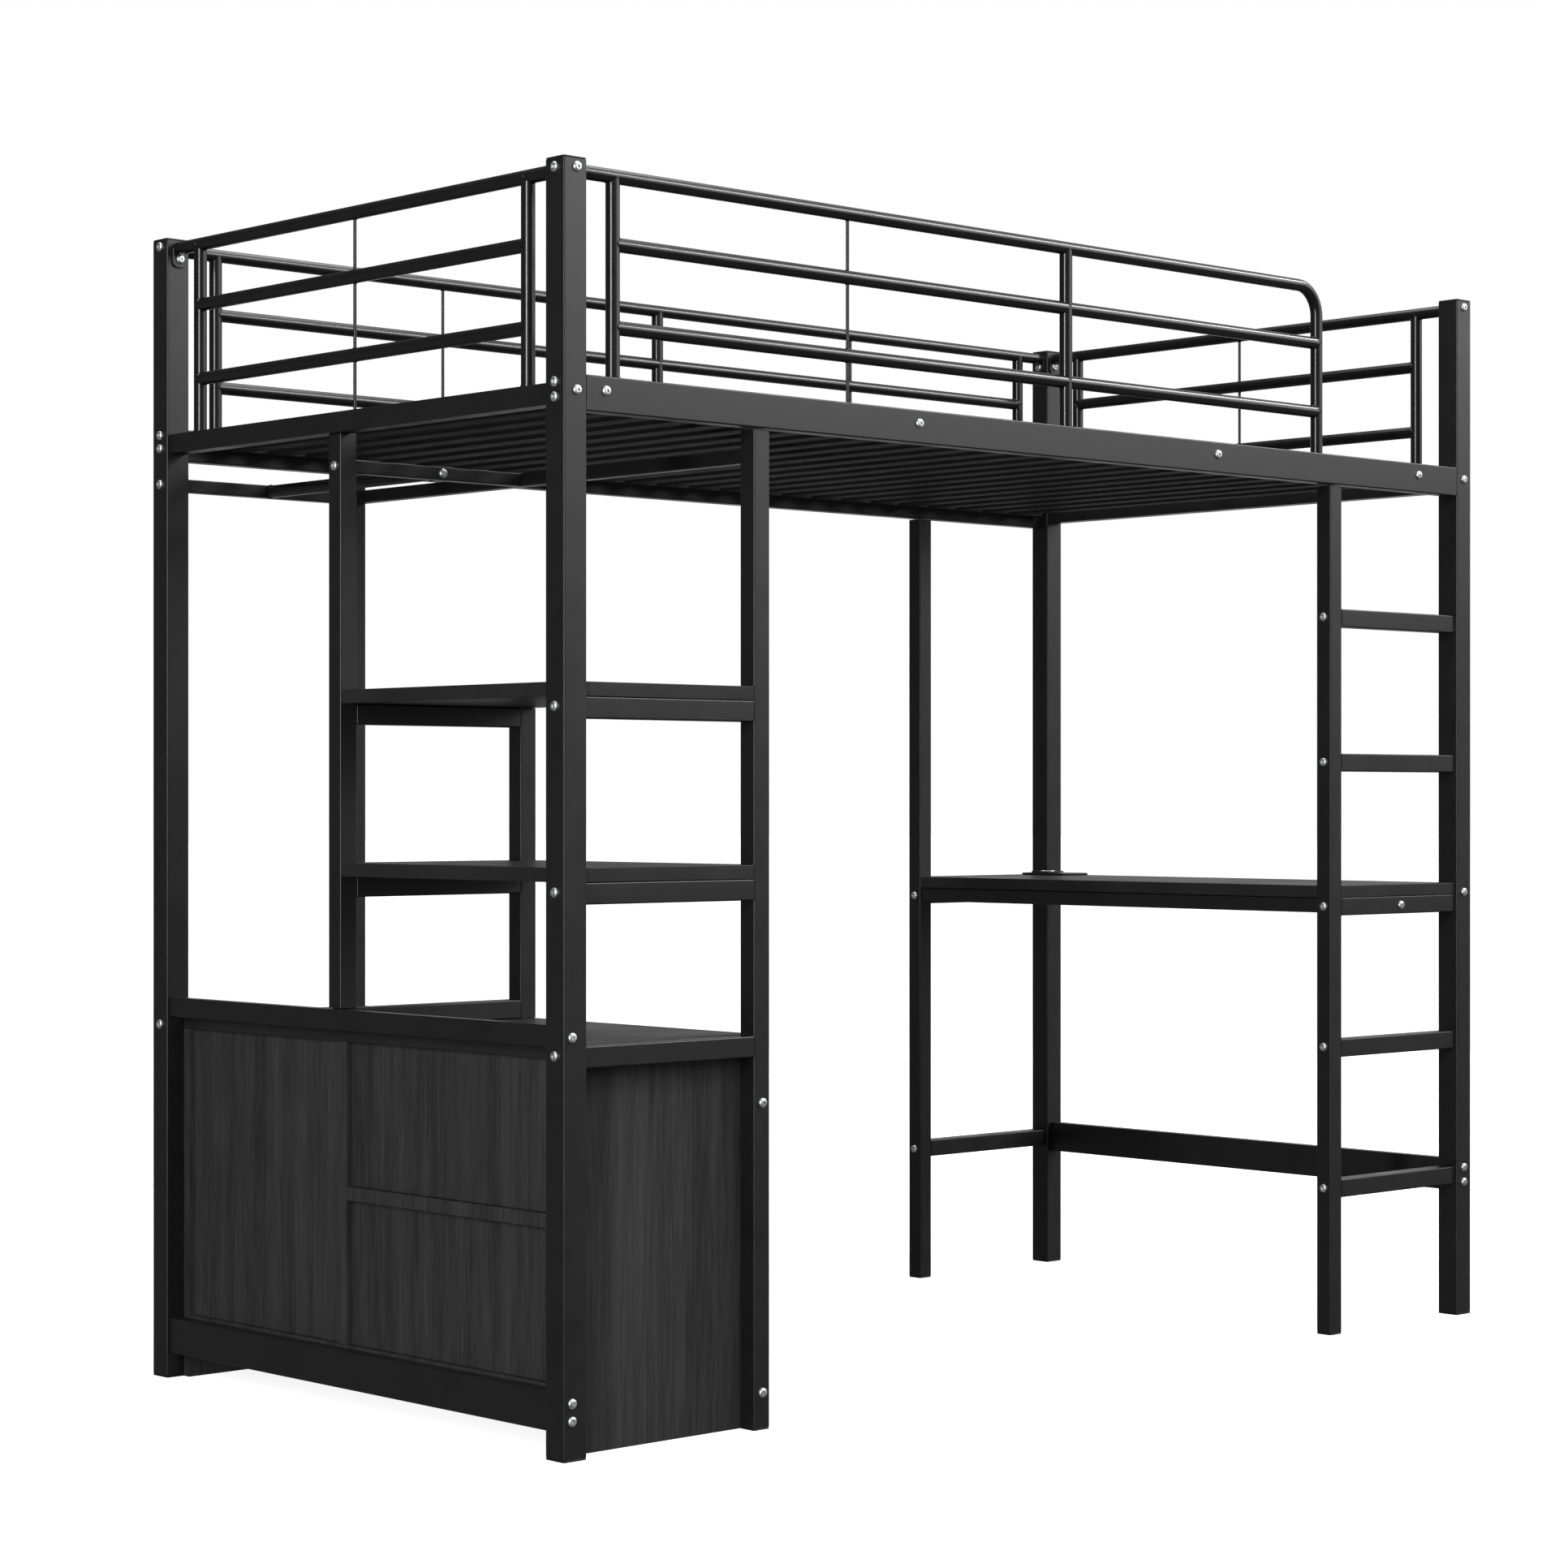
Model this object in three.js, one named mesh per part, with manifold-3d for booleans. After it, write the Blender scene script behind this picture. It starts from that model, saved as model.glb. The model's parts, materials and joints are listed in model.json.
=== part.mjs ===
import * as THREE from 'three';
import { mergeVertices } from 'three/addons/utils/BufferGeometryUtils.js';
import Module from 'manifold-3d';

// Loft bed of steel tube with a desk at one end, and a wardrobe, shelves and a drawer cabinet at the other.
// Millimetres. X runs from the wardrobe end to the desk end, Y from the ladder side to the wall side, Z up.

const LENGTH = 2040.8;
const WIDTH = 1003.2;
const HEIGHT = 1760;

const GAP = 0.3; // between pieces that touch
const OVERLAP = 1; // how far the parts of one welded or glued piece run into each other
const POST = 40; // corner post section
const BAR = 30; // inner post and rail section
const SLIM = 20; // slim rail section
const WALL = 1.5; // tube wall
const CORNER = 2; // outer corner radius of the square tubes
const INSET = 5; // inner posts stand this far inside the corner posts' outer faces

const WARDROBE_X = 352; // near face of the wardrobe's inner posts
const LADDER_X = 1657; // near face of the ladder post
const MIDDLE_Y = 531; // near face of the two shelf posts
const OUTER_SHELF_POST_X = 15.5;

const SIDE_RAIL_BOTTOM = 1420;
const SIDE_RAIL_HEIGHT = 49.5;
const SIDE_RAIL_THICKNESS = 25;
const END_RAIL_BOTTOM = 1429;
const INNER_POST_TOP = 1418;

const SLAT_COUNT = 25;
const SLAT_PITCH = 74.2;
const SLAT_WIDTH = 40;
const SLAT_THICKNESS = 10;
const SLAT_BOTTOM = 1439;
const LEDGER_END = 60; // distance from the bed's end to the ledger's end

const GUARD_RADIUS = 10;
const GUARD_LINE = 20; // guard axis, inside the frame's outer face
const GUARD_HEIGHTS = [1540, 1654, 1747];
const GUARD_BEND = 48; // radius of the front guard's bent end
const GUARD_BEND_LEAD = 6; // straight length at each end of the bend
const BEZIER_QUARTER = 0.5523; // handle length of a Bezier quarter circle of radius 1
const GUARD_SIDES = 16;
const ROD_RADIUS = 2.5;
const ROD_SIDES = 8;
const UPRIGHT_INSET = 102.5; // outer upright, from the bed's end
const UPRIGHT_INSET_END = 101.6; // the same on the end guards
const FRONT_GUARD_END = 1638;
const ROD_NEAR = 550;
const ROD_FAR = 1490;

const BOARD = 20; // board thickness
const BACK_THICKNESS = 5;
const BACK_RECESS = 10;
const SHELF_TOPS = { upper: 1054, lower: 801.3 };
const WARDROBE_TOP_Z = 1372;
const HANGING_ROD_X = 200;

const CABINET_X = [30, 382];
const CABINET_TOP = 560;
const CABINET_FLOOR = 75.5;
const DRAWER_SHELF = 307.4;
const CABINET_RAIL_Z = 529;
const CABINET_END_RAIL_Z = 558;
const CABINET_END_RAIL_X = 4;
const SHELF_FOOT_RAIL_HEIGHT = 28.4;
const SKIRT_Z = [38, 93];
const FRONT_GAP = 2; // gap round the door and the drawer fronts
const DRAWER_WALL = 12;
const DRAWER_SIDE_GAP = 13.5; // room for the runners
const DRAWER_BACK_X = 60;
const DRAWER_BOX_HEIGHT = 155;
const HANDLE = { length: 140, reach: 28, foot: 12, grip: 9, shoulder: 8, width: 12 };
const DOOR_HANDLE_INSET = 30; // from the door's opening edge

const DESK_TOP = 750;
const DESK_END_X = 2010.5;
const DESK_END_RAIL_Z = 719;
const DESK_INNER_RAIL_INSET = 2.5; // from the ladder post's near face
const DESK_INNER_RAIL_HEIGHT = 25;
const LOW_RAIL_Z = 226;
const LOW_END_RAIL_Z = [215, 270];
const RUNG_Z = [1183, 941, 463, 228];

const STATION = { x: 1925, y: 850, length: 70, width: 112, plate: 4.2 };
const STATION_SQUARE = { size: 46, inset: 14, rise: 3 };

const steel = { color: 0x1b1b1c, roughness: 0.45, metalness: 0.4 };
const melamine = { color: 0x262626, roughness: 0.6, metalness: 0 };
const worktop = { color: 0x2b2b2b, roughness: 0.5, metalness: 0 };
const plastic = { color: 0x141414, roughness: 0.35, metalness: 0 };

const wasm = await Module();
wasm.setup();

const bed = new THREE.Group();
bed.position.set(-LENGTH / 2, -WIDTH / 2, 0);

const AXES = [0, 1, 2].map((index) => new THREE.Vector3().setComponent(index, 1));

// Ranges along one axis, as [low, high]

const span = (start, size) => [start, start + size];
const between = (near, far) => [near[1] + GAP, far[0] - GAP];
const middle = (range) => (range[0] + range[1]) / 2;
const mirrorY = (range) => [WIDTH - range[1], WIDTH - range[0]];
const mirrorX = (range) => [LENGTH - range[1], LENGTH - range[0]];
const inset = ([low, high], by) => [low + by, high - by];

// Solids

function toSolid(geometry) {
  geometry.deleteAttribute('normal');
  geometry.deleteAttribute('uv');
  const merged = mergeVertices(geometry);
  return new wasm.Manifold(new wasm.Mesh({
    numProp: 3,
    vertProperties: new Float32Array(merged.attributes.position.array),
    triVerts: new Uint32Array(merged.index.array),
  }));
}

function toGeometry(solid) {
  const { vertProperties, triVerts } = solid.getMesh();
  const geometry = new THREE.BufferGeometry();
  geometry.setAttribute('position', new THREE.BufferAttribute(vertProperties, 3));
  geometry.setIndex(new THREE.BufferAttribute(triVerts, 1));
  geometry.computeVertexNormals();
  return geometry;
}

function block([x0, x1], [y0, y1], [z0, z1]) {
  const geometry = new THREE.BoxGeometry(x1 - x0, y1 - y0, z1 - z0);
  return toSolid(geometry.translate(middle([x0, x1]), middle([y0, y1]), middle([z0, z1])));
}

function roundBar(start, end, radius, sides) {
  const from = new THREE.Vector3(...start);
  const run = new THREE.Vector3(...end).sub(from);
  const geometry = new THREE.CylinderGeometry(radius, radius, run.length(), sides);
  const direction = run.clone().normalize();
  geometry.applyQuaternion(new THREE.Quaternion().setFromUnitVectors(AXES[1], direction));
  geometry.translate(...from.addScaledVector(run, 0.5).toArray());
  return toSolid(geometry);
}

const join = (solids) => solids.reduce((whole, solid) => whole.add(solid));

function addMesh(name, geometry, look) {
  const mesh = new THREE.Mesh(geometry, new THREE.MeshStandardMaterial(look));
  mesh.name = name;
  bed.add(mesh);
  return mesh;
}

const addSolid = (name, solid, look) => addMesh(name, toGeometry(solid), look);

// Square tube, open at both ends

function tubeSection(width, height) {
  const [x, y] = [width / 2 - CORNER, height / 2 - CORNER];
  const shape = new THREE.Shape();
  shape.absarc(x, y, CORNER, 0, Math.PI / 2);
  shape.absarc(-x, y, CORNER, Math.PI / 2, Math.PI);
  shape.absarc(-x, -y, CORNER, Math.PI, Math.PI * 1.5);
  shape.absarc(x, -y, CORNER, Math.PI * 1.5, Math.PI * 2);
  const [inX, inY] = [width / 2 - WALL, height / 2 - WALL];
  const corners = [[-inX, -inY], [-inX, inY], [inX, inY], [inX, -inY]];
  shape.holes.push(new THREE.Path(corners.map(([px, py]) => new THREE.Vector2(px, py))));
  return shape;
}

function addTube(name, ranges, along) {
  const sizes = ranges.map(([low, high]) => high - low);
  const [across, up] = [(along + 1) % 3, (along + 2) % 3];
  const section = tubeSection(sizes[across], sizes[up]);
  const options = { depth: sizes[along], bevelEnabled: false, curveSegments: 2 };
  const mesh = addMesh(name, new THREE.ExtrudeGeometry(section, options), steel);
  const basis = new THREE.Matrix4().makeBasis(AXES[across], AXES[up], AXES[along]);
  mesh.quaternion.setFromRotationMatrix(basis);
  mesh.position.fromArray(ranges.map(middle)).setComponent(along, ranges[along][0]);
}

const addTubeX = (name, x, y, z) => addTube(name, [x, y, z], 0);
const addTubeY = (name, x, y, z) => addTube(name, [x, y, z], 1);
const addTubeZ = (name, x, y, z) => addTube(name, [x, y, z], 2);

// Board with notches round the posts that pass its edges

function addBoard(name, x, y, z, posts = [], look = melamine) {
  const notches = posts.map(([px, py]) => block(inset(px, -GAP), inset(py, -GAP), inset(z, -OVERLAP)));
  addSolid(name, notches.reduce((board, notch) => board.subtract(notch), block(x, y, z)), look);
}

// Posts

const nearX = [0, POST];
const farX = mirrorX(nearX);
const frontY = [0, POST];
const backY = mirrorY(frontY);
const wardrobeX = span(WARDROBE_X, BAR);
const ladderX = span(LADDER_X, BAR);
const barY = span(INSET, BAR);
const barBackY = mirrorY(barY);
const middleY = span(MIDDLE_Y, BAR);
const shelfPostX = span(OUTER_SHELF_POST_X, BAR);

const wardrobeRun = between(nearX, wardrobeX);
const deskRun = between(ladderX, farX);
const bedRun = between(nearX, farX);
const acrossRun = between(frontY, backY);
const innerAcrossRun = between(barY, barBackY);

const cabinetEndX = span(CABINET_END_RAIL_X, SLIM);
const shelfFootRailZ = span(CABINET_TOP + GAP, SHELF_FOOT_RAIL_HEIGHT);
const shelfZ = {
  upper: [SHELF_TOPS.upper - BOARD, SHELF_TOPS.upper],
  lower: [SHELF_TOPS.lower - BOARD, SHELF_TOPS.lower],
};

function addPosts() {
  const full = [0, HEIGHT];
  addTubeZ('post_front_left', nearX, frontY, full);
  addTubeZ('post_back_left', nearX, backY, full);
  addTubeZ('post_front_right', farX, frontY, full);
  addTubeZ('post_back_right', farX, backY, full);
  const inner = [0, INNER_POST_TOP];
  addTubeZ('wardrobe_post_front', wardrobeX, barY, inner);
  addTubeZ('wardrobe_post_back', wardrobeX, barBackY, inner);
  addTubeZ('ladder_post', ladderX, barY, inner);
  addTubeZ('desk_post_back', ladderX, barBackY, inner);
  addTubeZ('shelf_post_outer', shelfPostX, middleY, [shelfFootRailZ[1] + GAP, END_RAIL_BOTTOM - GAP]);
}

// The inner shelf post and the rail at its foot are one welded piece

function addInnerShelfPost() {
  const post = block(wardrobeX, middleY, [shelfFootRailZ[0], shelfZ.upper[0] - GAP]);
  const footX = [cabinetEndX[1] + GAP, wardrobeX[0] + OVERLAP];
  addSolid('shelf_post_inner', post.add(block(footX, middleY, shelfFootRailZ)), steel);
}

// Bed frame and slat deck

const sideRailZ = span(SIDE_RAIL_BOTTOM, SIDE_RAIL_HEIGHT);
const sideRailY = [0, SIDE_RAIL_THICKNESS];
const endRailZ = span(END_RAIL_BOTTOM, BAR);
const endRailX = span(INSET, BAR);

function addBedFrame() {
  addTubeX('side_rail_front', bedRun, sideRailY, sideRailZ);
  addTubeX('side_rail_back', bedRun, mirrorY(sideRailY), sideRailZ);
  addTubeY('end_rail_left', endRailX, acrossRun, endRailZ);
  addTubeY('end_rail_right', mirrorX(endRailX), acrossRun, endRailZ);
}

function addSlatDeck() {
  const ledgerY = span(SIDE_RAIL_THICKNESS + GAP, SLIM);
  const ledgerX = [LEDGER_END, LENGTH - LEDGER_END];
  const ledgerZ = span(SLAT_BOTTOM, SLIM);
  const slatY = [ledgerY[1] - OVERLAP, WIDTH - ledgerY[1] + OVERLAP];
  const first = (LENGTH - (SLAT_COUNT - 1) * SLAT_PITCH - SLAT_WIDTH) / 2;
  const pieces = [block(ledgerX, ledgerY, ledgerZ), block(ledgerX, mirrorY(ledgerY), ledgerZ)];
  for (let index = 0; index < SLAT_COUNT; index += 1) {
    const x = span(first + index * SLAT_PITCH, SLAT_WIDTH);
    pieces.push(block(x, slatY, span(SLAT_BOTTOM, SLAT_THICKNESS)));
  }
  addSolid('slat_deck', join(pieces), steel);
}

// Guards: round tubes, with uprights and thin rods that stand on the rails

function guardPieces(place, run, uprights, rods, foot) {
  const top = GUARD_HEIGHTS.at(-1);
  const tube = (from, to) => roundBar(place(...from), place(...to), GUARD_RADIUS, GUARD_SIDES);
  const pieces = [tube([run[0], top], [run[1], top])];
  for (const height of GUARD_HEIGHTS.slice(0, -1)) {
    pieces.push(tube([uprights[0], height], [uprights.at(-1), height]));
  }
  for (const at of uprights) {
    const head = at > run[1] ? top - GUARD_BEND : top;
    pieces.push(tube([at, foot + GAP], [at, head]));
  }
  for (const at of rods) {
    pieces.push(roundBar(place(at, foot + GAP), place(at, top), ROD_RADIUS, ROD_SIDES));
  }
  return pieces;
}

function guardBend() {
  const reach = GUARD_BEND * BEZIER_QUARTER;
  const [x, y, z] = [FRONT_GUARD_END, GUARD_LINE, GUARD_HEIGHTS.at(-1)];
  const at = (dx, dz) => new THREE.Vector3(x + dx, y, z + dz);
  const path = new THREE.CurvePath();
  path.add(new THREE.LineCurve3(at(-GUARD_BEND - GUARD_BEND_LEAD, 0), at(-GUARD_BEND, 0)));
  path.add(new THREE.CubicBezierCurve3(
    at(-GUARD_BEND, 0), at(reach - GUARD_BEND, 0), at(0, reach - GUARD_BEND), at(0, -GUARD_BEND),
  ));
  path.add(new THREE.LineCurve3(at(0, -GUARD_BEND), at(0, -GUARD_BEND - GUARD_BEND_LEAD)));
  const section = new THREE.Shape().absarc(0, 0, GUARD_RADIUS, 0, Math.PI * 2);
  const options = { steps: 12, curveSegments: GUARD_SIDES / 2, bevelEnabled: false, extrudePath: path };
  return toSolid(new THREE.ExtrudeGeometry(section, options));
}

function addGuards() {
  const sideFoot = sideRailZ[1];
  const endFoot = endRailZ[1];

  const front = (x, z) => [x, GUARD_LINE, z];
  const frontRun = [bedRun[0], FRONT_GUARD_END - GUARD_BEND];
  const frontUprights = [UPRIGHT_INSET, LENGTH / 2, FRONT_GUARD_END];
  const frontPieces = guardPieces(front, frontRun, frontUprights, [ROD_NEAR], sideFoot);
  addSolid('guard_front', join([...frontPieces, guardBend()]), steel);

  const back = (x, z) => [x, WIDTH - GUARD_LINE, z];
  const backUprights = [UPRIGHT_INSET, LENGTH / 2, LENGTH - UPRIGHT_INSET];
  const backPieces = guardPieces(back, bedRun, backUprights, [ROD_NEAR, ROD_FAR], sideFoot);
  addSolid('guard_back', join(backPieces), steel);

  const endUprights = [UPRIGHT_INSET_END, WIDTH - UPRIGHT_INSET_END];
  const ends = { guard_left: GUARD_LINE, guard_right: LENGTH - GUARD_LINE };
  for (const [name, x] of Object.entries(ends)) {
    const end = (y, z) => [x, y, z];
    addSolid(name, join(guardPieces(end, acrossRun, endUprights, [WIDTH / 2], endFoot)), steel);
  }
}

// Wardrobe top and shelves

function addWardrobe() {
  const z = span(WARDROBE_TOP_Z, SLIM);
  const innerX = span(WARDROBE_X + INSET, SLIM);
  const slimMiddleY = span(MIDDLE_Y + INSET, SLIM);
  const slimBackY = span(barBackY[0] + INSET, SLIM);
  addTubeX('wardrobe_rail_back', wardrobeRun, slimBackY, z);
  addTubeX('wardrobe_rail_mid', between(shelfPostX, innerX), slimMiddleY, z);
  addTubeY('wardrobe_rail_inner', innerX, innerAcrossRun, z);
  const [rodStart, rodEnd] = between(slimMiddleY, slimBackY).map((y) => [HANGING_ROD_X, y, middle(z)]);
  addSolid('hanging_rod', roundBar(rodStart, rodEnd, SLIM / 2, GUARD_SIDES), steel);
}

function addShelves() {
  const posts = [[nearX, frontY], [wardrobeX, barY], [shelfPostX, middleY]];
  const boardX = [shelfPostX[0], wardrobeX[1]];
  const boardY = [barY[0], middleY[1]];
  addBoard('shelf_board_upper', boardX, boardY, shelfZ.upper, posts, worktop);
  addBoard('shelf_board_lower', boardX, boardY, shelfZ.lower, [...posts, [wardrobeX, middleY]], worktop);
  for (const level of ['upper', 'lower']) {
    const z = [shelfZ[level][0] - GAP - BAR, shelfZ[level][0] - GAP];
    addTubeX(`shelf_rail_${level}_front`, wardrobeRun, barY, z);
    addTubeX(`shelf_rail_${level}_mid`, between(shelfPostX, wardrobeX), middleY, z);
  }
}

// Cabinet

const panelFrontY = [barY[1] + GAP, barY[1] + BOARD];
const panelBackY = mirrorY(panelFrontY);
const dividerY = [MIDDLE_Y + INSET, MIDDLE_Y + INSET + BOARD];
const drawerBayY = between(panelFrontY, dividerY);
const tallBayY = between(dividerY, panelBackY);
const floorZ = span(CABINET_FLOOR, BOARD);
const topZ = [CABINET_TOP - BOARD, CABINET_TOP];
const drawerShelfZ = span(DRAWER_SHELF, BOARD);
const tallBayZ = between(floorZ, topZ);
const bayZ = { upper: between(drawerShelfZ, topZ), lower: between(floorZ, drawerShelfZ) };
const cabinetPosts = [[nearX, frontY], [nearX, backY]];

function addCabinetRails() {
  const z = span(CABINET_RAIL_Z, BAR);
  addTubeX('cabinet_rail_front', wardrobeRun, barY, z);
  addTubeX('cabinet_rail_back', wardrobeRun, barBackY, z);
  addTubeY('cabinet_rail_end', cabinetEndX, acrossRun, span(CABINET_END_RAIL_Z, BAR));
  addTubeY('cabinet_skirt_rail', cabinetEndX, acrossRun, SKIRT_Z);
}

function addCabinetBoards() {
  const acrossY = between(panelFrontY, panelBackY);
  const sideZ = [0, topZ[0] - GAP];
  addBoard('cabinet_side_front', CABINET_X, panelFrontY, sideZ, cabinetPosts);
  addBoard('cabinet_side_back', CABINET_X, panelBackY, sideZ, cabinetPosts);
  addBoard('cabinet_top', CABINET_X, [panelFrontY[0], panelBackY[1]], topZ, cabinetPosts, worktop);
  addBoard('cabinet_bottom', CABINET_X, acrossY, floorZ);
  addBoard('cabinet_divider', CABINET_X, dividerY, tallBayZ);
  addBoard('cabinet_drawer_shelf', CABINET_X, drawerBayY, drawerShelfZ);
  const backX = span(CABINET_X[0] + BACK_RECESS, BACK_THICKNESS);
  addBoard('cabinet_back_tall', backX, tallBayY, tallBayZ);
  addBoard('cabinet_back_upper', backX, drawerBayY, bayZ.upper);
  addBoard('cabinet_back_lower', backX, drawerBayY, bayZ.lower);
}

const frontX = [CABINET_X[1] - BOARD, CABINET_X[1] - GAP];

// Bow handle, an extruded bridge with rounded shoulders

function handleGeometry() {
  const { length, reach, foot, grip, shoulder, width } = HANDLE;
  const half = length / 2;
  const shape = new THREE.Shape();
  shape.moveTo(-half, 0);
  shape.lineTo(-half + foot, 0);
  shape.lineTo(-half + foot, reach - grip);
  shape.lineTo(half - foot, reach - grip);
  shape.lineTo(half - foot, 0);
  shape.lineTo(half, 0);
  shape.absarc(half - shoulder, reach - shoulder, shoulder, 0, Math.PI / 2);
  shape.absarc(shoulder - half, reach - shoulder, shoulder, Math.PI / 2, Math.PI);
  const geometry = new THREE.ExtrudeGeometry(shape, { depth: width, bevelEnabled: false, curveSegments: 4 });
  return geometry.translate(0, 0, -width / 2);
}

function addHandle(name, y, z, upright) {
  const mesh = addMesh(name, handleGeometry(), steel);
  const [xAxis, yAxis, zAxis] = AXES;
  const axes = upright ? [zAxis, xAxis, yAxis] : [yAxis, xAxis, zAxis.clone().negate()];
  mesh.quaternion.setFromRotationMatrix(new THREE.Matrix4().makeBasis(...axes));
  mesh.position.set(CABINET_X[1], y, z);
}

function addDoor() {
  const y = inset(tallBayY, FRONT_GAP - GAP);
  const z = inset(tallBayZ, FRONT_GAP);
  addBoard('cabinet_door', frontX, y, z);
  addHandle('door_handle', y[0] + DOOR_HANDLE_INSET, middle(z), true);
}

function addDrawer(level) {
  const bay = bayZ[level];
  const front = block(frontX, inset(drawerBayY, FRONT_GAP - GAP), inset(bay, FRONT_GAP));
  const boxX = [DRAWER_BACK_X, frontX[0] + OVERLAP];
  const boxY = inset(drawerBayY, DRAWER_SIDE_GAP);
  const boxZ = span(bay[0] + BOARD, DRAWER_BOX_HEIGHT);
  const insideX = [boxX[0] + DRAWER_WALL, frontX[0]];
  const insideZ = [boxZ[0] + DRAWER_WALL, boxZ[1] + OVERLAP];
  const hollow = block(insideX, inset(boxY, DRAWER_WALL), insideZ);
  addSolid(`drawer_${level}`, block(boxX, boxY, boxZ).subtract(hollow).add(front), melamine);
  addHandle(`drawer_${level}_handle`, middle(drawerBayY), middle(bay), false);
}

// Desk, ladder and low rails

function addDesk() {
  const boardZ = [DESK_TOP - BOARD, DESK_TOP];
  const posts = [[ladderX, barY], [ladderX, barBackY], [farX, frontY], [farX, backY]];
  addBoard('desk_board', [ladderX[0], DESK_END_X], [barY[0], barBackY[1]], boardZ, posts, worktop);
  const z = [boardZ[0] - GAP - BAR, boardZ[0] - GAP];
  addTubeX('desk_rail_front', deskRun, barY, z);
  addTubeX('desk_rail_back', deskRun, barBackY, z);
  const innerX = span(LADDER_X + DESK_INNER_RAIL_INSET, SLIM);
  addTubeY('desk_rail_inner', innerX, innerAcrossRun, [z[1] - DESK_INNER_RAIL_HEIGHT, z[1]]);
  const endX = span(DESK_END_X + GAP, SLIM);
  addTubeY('desk_rail_end', endX, acrossRun, span(DESK_END_RAIL_Z, BAR));
  addTubeY('low_rail_end', endX, acrossRun, LOW_END_RAIL_Z);
  addTubeX('low_rail_back', deskRun, barBackY, span(LOW_RAIL_Z, BAR));
}

function addLadder() {
  RUNG_Z.forEach((z, index) => addTubeX(`ladder_rung_${index + 1}`, deskRun, barY, span(z, BAR)));
}

// Power and charging plate lying on the desk, with a raised square on it

function addPowerStation() {
  const x = span(STATION.x, STATION.length);
  const y = span(STATION.y, STATION.width);
  const z = span(DESK_TOP + GAP, STATION.plate);
  const { size, rise } = STATION_SQUARE;
  const raisedX = span(middle(x) - size / 2, size);
  const raisedY = span(y[1] - STATION_SQUARE.inset - size, size);
  const raised = block(raisedX, raisedY, [z[0], z[1] + rise]);
  addSolid('power_station', block(x, y, z).add(raised), plastic);
}

addPosts();
addInnerShelfPost();
addBedFrame();
addSlatDeck();
addGuards();
addWardrobe();
addShelves();
addCabinetRails();
addCabinetBoards();
addDoor();
addDrawer('upper');
addDrawer('lower');
addDesk();
addLadder();
addPowerStation();

export default bed;
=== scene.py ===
import json
import math

import bmesh
import bpy
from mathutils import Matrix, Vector


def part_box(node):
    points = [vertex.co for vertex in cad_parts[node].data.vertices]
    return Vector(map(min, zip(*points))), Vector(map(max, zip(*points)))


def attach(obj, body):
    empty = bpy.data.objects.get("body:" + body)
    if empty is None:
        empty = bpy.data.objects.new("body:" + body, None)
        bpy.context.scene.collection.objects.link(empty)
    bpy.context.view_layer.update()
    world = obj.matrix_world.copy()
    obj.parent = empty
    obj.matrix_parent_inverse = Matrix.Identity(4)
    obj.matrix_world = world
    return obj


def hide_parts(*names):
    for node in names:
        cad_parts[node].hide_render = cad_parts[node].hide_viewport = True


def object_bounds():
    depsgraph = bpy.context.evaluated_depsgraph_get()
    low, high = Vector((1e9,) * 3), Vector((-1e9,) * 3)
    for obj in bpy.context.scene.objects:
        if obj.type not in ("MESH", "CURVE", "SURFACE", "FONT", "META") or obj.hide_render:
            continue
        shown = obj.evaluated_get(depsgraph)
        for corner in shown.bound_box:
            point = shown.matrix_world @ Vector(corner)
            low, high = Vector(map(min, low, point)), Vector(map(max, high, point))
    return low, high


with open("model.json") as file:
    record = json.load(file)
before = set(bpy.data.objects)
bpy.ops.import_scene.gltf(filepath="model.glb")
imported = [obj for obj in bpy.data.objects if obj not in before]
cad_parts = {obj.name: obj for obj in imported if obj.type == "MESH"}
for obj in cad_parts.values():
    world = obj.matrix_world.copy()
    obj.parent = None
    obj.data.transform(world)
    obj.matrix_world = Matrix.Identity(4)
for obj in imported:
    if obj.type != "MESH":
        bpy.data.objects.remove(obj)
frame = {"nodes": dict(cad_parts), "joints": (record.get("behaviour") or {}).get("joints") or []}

# Loft bed of black powder-coated tube: a desk at one end, a wardrobe and drawer cabinet at the other.
# Blender's metres. Sizes given in mm are turned with the value below.

mm = 0.001
cadLow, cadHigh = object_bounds()
bedLength, bedWidth = [size / mm for size in (cadHigh - cadLow).xy]
xAxis, yAxis, zAxis = Vector((1, 0, 0)), Vector((0, 1, 0)), Vector((0, 0, 1))


def fromCorner(x, y, z):  # a place in mm from the wardrobe end's front corner on the floor
    return cadLow + Vector((x, y, z)) * mm


# Camera

viewer = {
    "place": (-4.0384, -4.1671, 0.8925),
    "turn": -43.04,  # degrees from +Y
    "lens": 80.86,
    "sensor": 36,
    "shiftUp": 0.0105,
}


def makeCamera():
    data = bpy.data.cameras.new("camera")
    data.lens = viewer["lens"]
    data.sensor_width = viewer["sensor"]
    data.shift_y = viewer["shiftUp"]
    camera = bpy.data.objects.new("camera", data)
    camera.location = viewer["place"]
    camera.rotation_euler = (math.radians(90), 0, math.radians(viewer["turn"]))
    bpy.context.scene.collection.objects.link(camera)
    bpy.context.scene.camera = camera


# Materials

def fromHex(text):  # sRGB hex to linear
    parts = [int(text[i:i + 2], 16) / 255 for i in (1, 3, 5)]
    return [p / 12.92 if p <= 0.04045 else ((p + 0.055) / 1.055) ** 2.4 for p in parts] + [1]


def addNode(tree, kind, settings=None, **sockets):
    made = tree.nodes.new(kind)
    for name, value in (settings or {}).items():
        setattr(made, name, value)
    for name, value in sockets.items():
        socket = made.inputs[int(name[1:]) if name[1:].isdigit() else name.replace("_", " ")]
        if isinstance(value, bpy.types.NodeSocket):
            tree.links.new(value, socket)
        else:
            socket.default_value = value
    return made


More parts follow.
